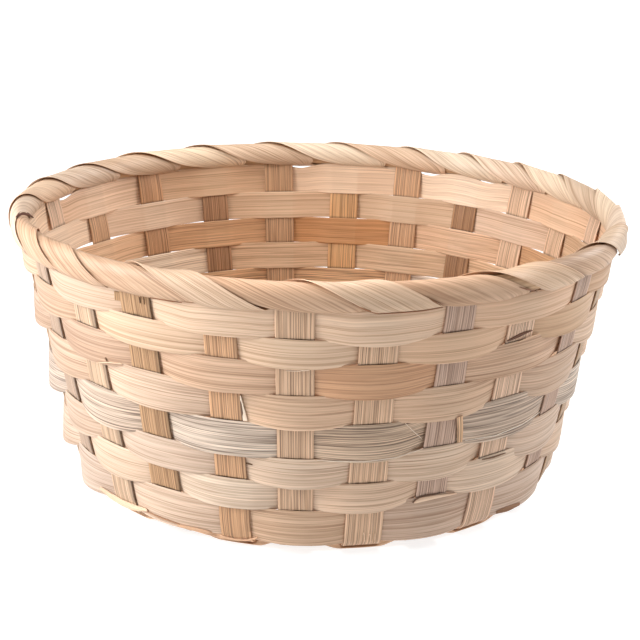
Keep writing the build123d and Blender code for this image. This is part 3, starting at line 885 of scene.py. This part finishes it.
def along_passes(start, n, table, default, blur=0.05):
    """A value that is set for each pass, along a splint; it changes at the dives, where n is whole."""
    k = np.ceil(n - 1e-9).astype(int)
    lo, hi = int(k.min()) - 1, int(k.max()) + 1
    vals = np.array([by_pass(table, default, start + 2 * j) for j in range(lo, hi + 1)], float)
    here, after = vals[k - lo], vals[np.minimum(k - lo + 1, len(vals) - 1)]
    before = vals[np.maximum(k - lo - 1, 0)]
    past = n - (k - 1)                 # 0 just after the last dive, 1 at the next
    up = 0.5 * smooth((past - 1 + blur) / blur)
    down = 0.5 * smooth((blur - past) / blur)
    if here.ndim > 1:
        up, down = up[:, None], down[:, None]
    return here * (1 - up - down) + after * up + before * down


def lash_course(start, seed, n):
    """Middle of a splint (radians) and its reach to both edges (mm) after n turns."""
    whole = np.arange(int(np.floor(n.min())) - 1, int(np.ceil(n.max())) + 2)
    dive = np.array([dive_deg(start + 2 * int(j)) + math.degrees(by_pass(DIVE_SHIFT, 0.0, start + 2 * int(j)) / RIM_R) for j in whole])
    mid = np.radians(np.interp(n, whole, dive))
    off = (n - np.round(n)) * 2 * np.pi
    pinch = np.where(off < 0, np.exp(-((off / 0.62) ** 2)), np.exp(-((off / 0.80) ** 2)))
    hi = along_passes(start, n, PASS_HI, 17.6)
    lo = along_passes(start, n, PASS_LO, 19.1)
    hi = hi + (6.4 - hi) * pinch + wander(n, 0.5, 0.8, seed + 1) * (1 - pinch)
    wide = np.where(off < 0, np.exp(-((off / 0.85) ** 2)), pinch)
    lo = lo + (6.8 - lo) * wide + wander(n, 0.5, 0.7, seed + 2) * (1 - pinch)
    return mid, hi, lo, pinch


SPLINTS = {0: 41, 1: 57}


def make_lashing(name, start, first, last):
    seed, other = SPLINTS[start], 1 - start
    per = 72
    n = np.linspace(first, last, int((last - first) * per) + 1)
    chi = np.pi / 2 + 2 * np.pi * n
    mid, hi_reach, lo_reach, pinch = lash_course(start, seed, n)
    flag = {k: 0.0 for k in NEXT_ON_TOP}
    top_hi = along_passes(start, n, flag, 1.0)                       # its far edge lies on the next pass
    top_lo = 1 - along_passes(start - 1, n, flag, 1.0)               # its near edge lies on the pass before
    puff = along_passes(start, n, PASS_PUFF, 1.0) * (0.55 + 0.45 * wander(n, 1.0, 1.0, seed + 3))
    # the neighbours' edges, to know where this splint disappears beneath them
    mid_lo, hi_lo, _, _ = lash_course(start - 1, SPLINTS[other], n)
    mid_hi, _, lo_hi, _ = lash_course(start + 1, SPLINTS[other], n)
    edge_lo, edge_hi = mid_lo + hi_lo / RIM_R, mid_hi - lo_hi / RIM_R
    inner = (0.5 + 0.5 * np.cos(chi - 1.36 * np.pi)) ** 2
    outer = (0.5 + 0.5 * np.cos(chi - 1.78 * np.pi)) ** 2
    s, c = np.sin(chi), np.cos(chi)
    hang = 1.9 * np.clip(s, 0, 1) * np.clip(c, 0, 1) ** 0.6
    free = 3.4 * smooth((n - last + 0.17) / 0.17) ** 1.5 if last % 1 > 0.5 else 0 * n     # a loose end springs off

    def spread(w):
        reach = np.where(w[None, :] < 0, lo_reach[:, None], hi_reach[:, None])
        return mid[:, None] + w[None, :] * reach / RIM_R

    def grid(w):
        f = (w[None, :] + 1) / 2
        phi = spread(w)
        P, M = top_hi[:, None], top_lo[:, None]
        far, near = np.clip((w[None, :] - 0.05) / 0.95, 0, 1) ** 2, np.clip((-w[None, :] - 0.05) / 0.95, 0, 1) ** 2
        rise = (0.08 + puff * (0.85 * inner + 0.50 * outer)) * (1 - 0.8 * pinch)
        lift = 0.06 + 0.46 * np.maximum(P * f**1.4, M * (1 - f) ** 1.4) + rise[:, None] * (P * far + M * near)
        lift = lift + hang[:, None] * (0.35 + 0.65 * smooth((0.95 - w[None, :]) / 0.7)) + (free[:, None] * (0.55 + 0.45 * w[None, :]) if last % 1 > 0.5 else 0.0)
        cx, cz = (LASH_A + lift) * c[:, None], -(LASH_B + lift) * s[:, None]
        out = np.stack([np.sin(phi), -np.cos(phi), np.zeros_like(phi)], -1)
        rad = RIM_R + cx * COS_F + cz * SIN_F
        z = RIM_Z - cx * SIN_F + cz * COS_F
        pts = out * rad[..., None]
        pts[..., 2] = z
        du = np.gradient(pts, axis=0)
        dw = np.gradient(pts, w, axis=1)
        nrm = unit(np.cross(du, dw))
        tube = out * RIM_R
        tube[..., 2] = RIM_Z
        if ((pts - tube) * nrm).sum(-1).mean() < 0:
            nrm = -nrm
        return pts, nrm

    line, _ = grid(np.array([-0.02, 0.02]))
    centre = line.mean(axis=1)
    half = np.stack([lo_reach, hi_reach], -1) * 0.5

    def tone(face, al, w):
        t = np.ones((len(al), len(w), 3))
        t *= (1 + wander(al, 55.0, 0.07, seed + 8))[:, None, None]
        warm = wander(al, 80.0, 0.06, seed + 9)
        t *= np.stack([1 + 0 * warm, 1 - 0.5 * warm, 1 - warm], -1)[:, None, :]
        t *= along_passes(start, n, {k: np.array(v) for k, v in PASS_TONE.items()}, np.ones(3))[:, None, :]
        past = n - np.ceil(n - 1e-9) + 1
        t *= (1 + along_passes(start, n, CREST_PAINTED_LIGHT, 0.0) * (1 - 1.8 * smooth((past - 0.52) / 0.28)))[:, None, None]
        # painted shade where it slips beneath a neighbour, strongest near the tips
        phi = spread(w)
        d_lo = (phi - edge_lo[:, None]) * RIM_R
        d_hi = (edge_hi[:, None] - phi) * RIM_R
        wide = along_passes(start, n, SLIP_WIDTH, 1.5)[:, None]
        shade = np.maximum((1 - top_lo)[:, None] * np.exp(-(np.clip(d_lo, 0, None) / wide) ** 2),
                           (1 - top_hi)[:, None] * np.exp(-(np.clip(d_hi, 0, None) / wide) ** 2))
        shade = shade * (0.30 + np.where(past < 0.45, 0.70 * inner, 0.35 * np.maximum(inner, outer)) + 0.9 * smooth((past - 0.68) / 0.16))[:, None] * along_passes(start, n, SLIP_SHADE, 1.0)[:, None]
        shade = np.minimum(shade, 1.25)
        t *= np.stack([1 - 0.55 * shade, 1 - 0.66 * shade, 1 - 0.74 * shade], -1)
        # a painted highlight along an edge that lies on top of the next pass
        rim = np.clip((np.abs(w) - 0.93) / 0.04, 0, 1)[None, :] * np.where(w[None, :] > 0, top_hi[:, None], top_lo[:, None])
        t *= (1 + 0.07 * rim)[:, :, None]
        return t

    ob = strip(name + "_splint", centre, None, None, half, 0.32, seed, LASH, tone, cols=26, relief=0.05, grid=grid, grain=8.0)
    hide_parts(name)
    return ob


for r in range(1, N_ROWS + 1):
    make_weaver(r)
for i in range(6):
    make_stake(f"stake_front_back_{i + 1}", i, i - 2, 15 - i, to_front, 300 + 17 * i)
for i in range(6):
    make_stake(f"stake_left_right_{i + 1}", i, i + 4, 21 - i, to_right, 500 + 17 * i)
make_ring()
make_lashing("rim_lashing_a", 0, 4.02, 15.98)
make_lashing("rim_lashing_b", 1, 2.02, 13.90)
for hoop in ("rim_outer_hoop", "rim_inner_hoop"):
    ob = frame["nodes"][hoop]
    ob.data.materials.clear()
    ob.data.materials.append(HOOP)

# ------------------------------------------------------------------ stage
def floor_material():
    mat, tree, bsdf = nodes_of("floor")
    g = Graph(tree)
    n = tree.nodes.new("ShaderNodeTexCoord")
    f = g.noise(g.vmul(n.outputs["Object"], (2.0, 2.0, 2.0)), detail=2.0)
    g.link(g.mix(f, (0.34, 0.34, 0.34), (0.36, 0.36, 0.36)), bsdf.inputs["Base Color"])
    bsdf.inputs["Roughness"].default_value = 0.9
    bsdf.inputs["Specular IOR Level"].default_value = 0.1
    bsdf.inputs["Emission Color"].default_value = (1.0, 1.0, 1.0, 1.0)
    far = g.split(n.outputs["Object"])[1]
    g.link(g.ramp(far, 0.20, 0.80, 0.78, 1.0), bsdf.inputs["Emission Strength"])
    return mat


bm = bmesh.new()
bmesh.ops.create_grid(bm, x_segments=4, y_segments=4, size=8.0)
mesh = bpy.data.meshes.new("floor")
bm.to_mesh(mesh)
bm.free()
floor = bpy.data.objects.new("floor", mesh)
floor.location = (0, 0, -0.0003)
bpy.context.scene.collection.objects.link(floor)
mesh.materials.append(floor_material())

world = bpy.data.worlds.new("studio")
bpy.context.scene.world = world
world.use_nodes = True
world.node_tree.nodes["Background"].inputs["Color"].default_value = (1.0, 1.0, 1.0, 1.0)
world.node_tree.nodes["Background"].inputs["Strength"].default_value = 0.28


def lamp(name, azimuth, away, height, size, power, aim=(0.0, 0.0, 0.06)):
    """A round soft lamp; azimuth in degrees from the camera's own bearing, positive to its right."""
    data = bpy.data.lights.new(name, "AREA")
    data.shape = "DISK"
    data.size = size
    data.energy = power
    ob = bpy.data.objects.new(name, data)
    a = math.radians(VIEW_DEG + azimuth)
    at = Vector((math.sin(a) * away, -math.cos(a) * away, height))
    ob.location = at
    ob.rotation_euler = (at - Vector(aim)).to_track_quat("Z", "Y").to_euler()
    bpy.context.scene.collection.objects.link(ob)


lamp("key", -75, 0.50, 0.22, 0.35, 3.0)
lamp("fill", -60, 0.70, 0.40, 0.40, 2.0)
lamp("side", 110, 0.70, 0.40, 0.50, 4.9)
lamp("front", 0, 1.20, 0.90, 0.80, 2.05)
lamp("top", 0, 0.05, 0.90, 0.70, 5.1)

# ------------------------------------------------------------------ camera, fitted to the photograph
F_PX, CAM_D, CAM_H = 1643.8, 0.6576, 0.1585 + RIM_Z / 1000.0
PITCH, ROLL, SHIFT_PX = math.radians(17.28), math.radians(1.06), 3.74
view = math.radians(VIEW_DEG)
data = bpy.data.cameras.new("camera")
data.sensor_width = 36.0
data.lens = F_PX * 36.0 / 640.0
data.shift_x = SHIFT_PX / 640.0
cam = bpy.data.objects.new("camera", data)
bpy.context.scene.collection.objects.link(cam)
fwd = Vector((-math.sin(view) * math.cos(PITCH), math.cos(view) * math.cos(PITCH), -math.sin(PITCH)))
right = Vector((math.cos(view), math.sin(view), 0.0))
upv = right.cross(fwd)
basis = Matrix((right, upv, -fwd)).transposed().to_4x4()
cam.matrix_world = Matrix.Translation((math.sin(view) * CAM_D, -math.cos(view) * CAM_D, CAM_H)) @ basis @ Matrix.Rotation(ROLL, 4, "Z")
bpy.context.scene.camera = cam

# ------------------------------------------------------------------ loose ends, frayed fibres and painted shadows
# Small splinters that the weave has shed, and thin dark strips of painted shadow beside slivers, under the rim and in
# its opening. Each one is drawn along sight lines of the camera, by points of the picture (px), and lies on whatever
# strip it meets there: (x, y, width in px), lift in mm, colour.
FRAYS_AND_SHADOWS = {
    "weaver_frays": (WEAVER, "weaver_splint", [
        ([(240.6, 395, 0.9), (243.2, 407, 3.2), (246.0, 420, 5.0)], 0.60, (1.25, 1.50, 1.75)),
        # painted shadow beside the sliver above
        ([(239.8, 396, 1.0), (241.0, 407, 1.8), (242.6, 418, 2.0)], 0.35, (0.30, 0.25, 0.22)),
        ([(413.5, 502.5, 1.0), (418, 500, 5.0), (432, 497, 4.0), (456, 493, 1.0)], 0.55, (1.20, 1.26, 1.32)),
        # painted shadow along the wedge above
        ([(412.5, 502.5, 1.2), (416, 498.2, 1.6), (424, 495.2, 1.3), (436, 493.4, 0.8)], 0.35, (0.28, 0.22, 0.20)),
        ([(97, 362.5, 0.9), (108, 361.8, 1.2), (122, 363.4, 0.8)], 0.35, (1.10, 1.12, 1.12)),
        ([(105.5, 357.5, 1.4), (107.5, 361.0, 1.2)], 0.30, (0.32, 0.24, 0.18)),
        ([(405, 423, 0.6), (413, 431, 0.8), (421, 438, 0.5)], 0.40, (1.20, 1.50, 1.80)),
        ([(317, 460.2, 0.7), (335, 461.2, 0.9), (365, 461.4, 0.9), (395, 457.5, 0.9), (423, 448.5, 0.7)], 0.20, (1.20, 1.50, 1.85)),
        ([(465, 440.0, 0.7), (495, 435.5, 0.9), (522, 424, 0.9), (540, 411.5, 0.6)], 0.20, (1.20, 1.50, 1.85)),
        ([(286, 370.3, 0.7), (297, 370.8, 1.0), (309, 369.8, 0.6)], 0.30, (1.20, 1.40, 1.60)),
        ([(246.5, 463.0, 1.6), (252.5, 464.5, 1.0)], 0.25, (0.28, 0.22, 0.18)),
        ([(505, 341.6, 0.5), (512, 338.6, 2.4), (519, 335.2, 3.6), (526, 332.0, 2.6), (532, 330.2, 0.5)], 0.26, (0.20, 0.11, 0.075)),
        ([(517, 341.5, 0.9), (523, 339.0, 1.5), (530, 336.0, 1.6), (538, 333.5, 0.8)], 0.75, (1.05, 1.02, 0.98)),
        ([(482, 459.4, 0.6), (492, 457.4, 1.6), (505, 452.8, 0.6)], 0.28, (0.30, 0.22, 0.17)),
        ([(101, 487.0, 3.0), (112, 495.5, 6.5), (124, 502.5, 8.0), (136, 507.2, 7.0), (148, 509.5, 2.5)], 0.60, (1.12, 1.14, 1.14)),
        ([(146, 510.5, 1.2), (160, 517.0, 1.6), (180, 524.0, 1.2)], 0.30, (0.55, 0.42, 0.33)),
        ([(178, 524.5, 2.0), (196, 528.8, 4.0), (208, 532.0, 5.0), (222, 536.0, 3.5), (236, 539.0, 2.4), (248, 539.6, 2.2), (258, 537.0, 1.6)], 0.55, (1.02, 0.92, 0.84)),
        ([(496, 512.0, 3.0), (507, 508.5, 6.0), (519, 503.5, 3.0)], 0.35, (0.42, 0.30, 0.22)),
    ]),
    "stake_frays": (STAKE, "stake_splint", [
        ([(459.4, 416, 6.0), (459.8, 429, 6.4), (459.2, 441.5, 5.6)], 0.55, (1.20, 1.10, 0.98)),
        # painted shadow beside the sliver above
        ([(455.6, 418, 0.9), (455.8, 430, 1.0), (455.2, 440, 0.9)], 0.30, (0.40, 0.33, 0.30)),
        ([(117.4, 291.5, 6.5), (117.9, 300.0, 6.5)], 0.30, (0.95, 0.82, 0.65)),
        ([(139.6, 297, 1.0), (140.4, 303, 0.7)], 0.22, (0.36, 0.28, 0.22)),
        ([(143.6, 297, 1.1), (144.6, 304, 0.7)], 0.22, (0.36, 0.28, 0.22)),
        ([(363.5, 532, 0.8), (364.6, 541, 0.5)], 0.25, (1.50, 1.65, 1.80)),
        ([(369.5, 533, 0.8), (371.0, 541, 0.5)], 0.25, (1.40, 1.50, 1.60)),
        ([(375.0, 533, 0.7), (374.4, 540, 0.5)], 0.25, (1.40, 1.50, 1.60)),
    ]),
    "lashing_frays": (LASH, "lashing_splint", [
        # the next five are painted shadow: dark lines under the rim's lower edge and along the edges of its bands
        ([(380, 313.4, 0.5), (400, 312.4, 1.2), (425, 310.2, 1.2), (443, 306.8, 0.5)], 0.20, (0.36, 0.20, 0.13)),
        ([(150, 297.4, 0.5), (165, 299.8, 1.2), (182, 302.4, 0.5)], 0.20, (0.40, 0.24, 0.16)),
        ([(352, 303.2, 0.4), (364, 309.0, 1.7), (374, 312.6, 2.1), (380, 313.8, 0.6)], 0.22, (0.44, 0.28, 0.19)),
        ([(427, 297.0, 0.4), (435, 302.2, 1.6), (441, 305.5, 0.5)], 0.22, (0.38, 0.23, 0.15)),
        ([(519, 287.0, 0.4), (528, 289.6, 1.6), (537, 291.2, 0.5)], 0.22, (0.36, 0.20, 0.13)),
        ([(524, 281.5, 1.0), (534, 285.0, 2.0), (546, 290.0, 0.7)], 0.45, (0.92, 0.92, 0.92)),
        ([(518, 283.0, 0.9), (528, 287.5, 1.4), (537, 289.8, 0.6)], 0.40, (0.90, 0.88, 0.85)),
        # painted shade: the shadowed hoop seen through the opening at the rim's left end
        ([(15.5, 217.6, 0.5), (19.0, 214.6, 3.6), (24.0, 213.2, 5.6), (29.0, 214.6, 4.4), (33.0, 218.0, 0.5)], 0.30, (0.17, 0.08, 0.06)),
    ]),
}


def sight(x, y):
    """Direction in which the camera sees a point of the picture."""
    turn = Matrix.Rotation(ROLL, 3, "Z")
    local = turn @ Vector(((x - 320.0 + SHIFT_PX) / F_PX, (320.0 - y) / F_PX, -1.0))
    return (Matrix((right, upv, -fwd)).transposed() @ local).normalized()


def make_frays_and_shadows():
    solids = []
    for ob in bpy.data.objects:
        if ob.type == "MESH" and "strip" in ob.data.attributes:
            n = len(ob.data.vertices)
            co = np.empty(n * 3)
            ob.data.vertices.foreach_get("co", co)
            solids.append(BVHTree.FromPolygons(co.reshape(-1, 3).tolist(), [tuple(f.vertices) for f in ob.data.polygons]))
    eye = cam.matrix_world.translation

    def meet(x, y):
        best = None
        for tree in solids:
            at, face, _, far = tree.ray_cast(eye, sight(x, y))
            if at is not None and (best is None or far < best[2]):
                best = (at, face, far)
        return best

    for number, (name, (mat, slot, list_)) in enumerate(FRAYS_AND_SHADOWS.items()):
        made = []
        for i, (points, lift, rgb) in enumerate(list_):
            pts = np.array(points, float)
            run = np.concatenate([[0.0], np.cumsum(np.hypot(*np.diff(pts[:, :2], axis=0).T))])
            u = np.linspace(0, run[-1], max(6, int(run[-1] / 2.0)))
            px = np.stack([np.interp(u, run, pts[:, c]) for c in range(3)], -1)
            for _ in range(2):
                px[1:-1] = 0.25 * px[:-2] + 0.5 * px[1:-1] + 0.25 * px[2:]
            spots = [meet(x, y) for x, y, _ in px]
            if sum(h is not None for h in spots) < 3:
                continue
            known = [j for j, h in enumerate(spots) if h is not None]
            far = np.interp(np.arange(len(px)), known, [spots[j][2] for j in known])
            for _ in range(40):
                far[1:-1] = np.minimum(far[1:-1], 0.25 * far[:-2] + 0.5 * far[1:-1] + 0.25 * far[2:])
            P = np.array([list(eye + sight(x, y) * d) for (x, y, _), d in zip(px, far)]) * 1000.0
            N = np.array([list(spots[min(known, key=lambda q: abs(q - j))][1]) for j in range(len(px))])
            look = np.array([list(sight(x, y)) for x, y, _ in px])
            N = np.where((N * look).sum(-1, keepdims=True) > 0, -N, N)
            N = unit(0.25 * N + unit(N.mean(axis=0, keepdims=True)) - 0.45 * look)
            P = P + N * lift
            T = unit(np.gradient(P, axis=0))
            A = unit(np.cross(N, T))
            N = unit(np.cross(T, A))
            half = px[:, 2] * far * 1000.0 / F_PX / 2
            ob = strip(f"{name}_{i + 1}", P, A, N, np.stack([half, half], -1), min(0.3, lift * 1.1), 800 + 40 * number + i, mat, flat_tone(rgb), cols=8, relief=0.0)
            made.append(ob)
        for i, ob in enumerate(made):
            uv = ob.data.uv_layers["OFBake"]
            flat = np.empty(len(uv.data) * 2, np.float32)
            uv.data.foreach_get("uv", flat)
            flat[1::2] = (i + 0.02 + 0.96 * flat[1::2]) / len(made)
            uv.data.foreach_set("uv", flat)
        with bpy.context.temp_override(active_object=made[0], selected_editable_objects=made):
            bpy.ops.object.join()
        made[0].name = name
        made[0].data.name = name


make_frays_and_shadows()

bpy.context.scene.view_settings.view_transform = "Standard"
bpy.context.view_layer.update()
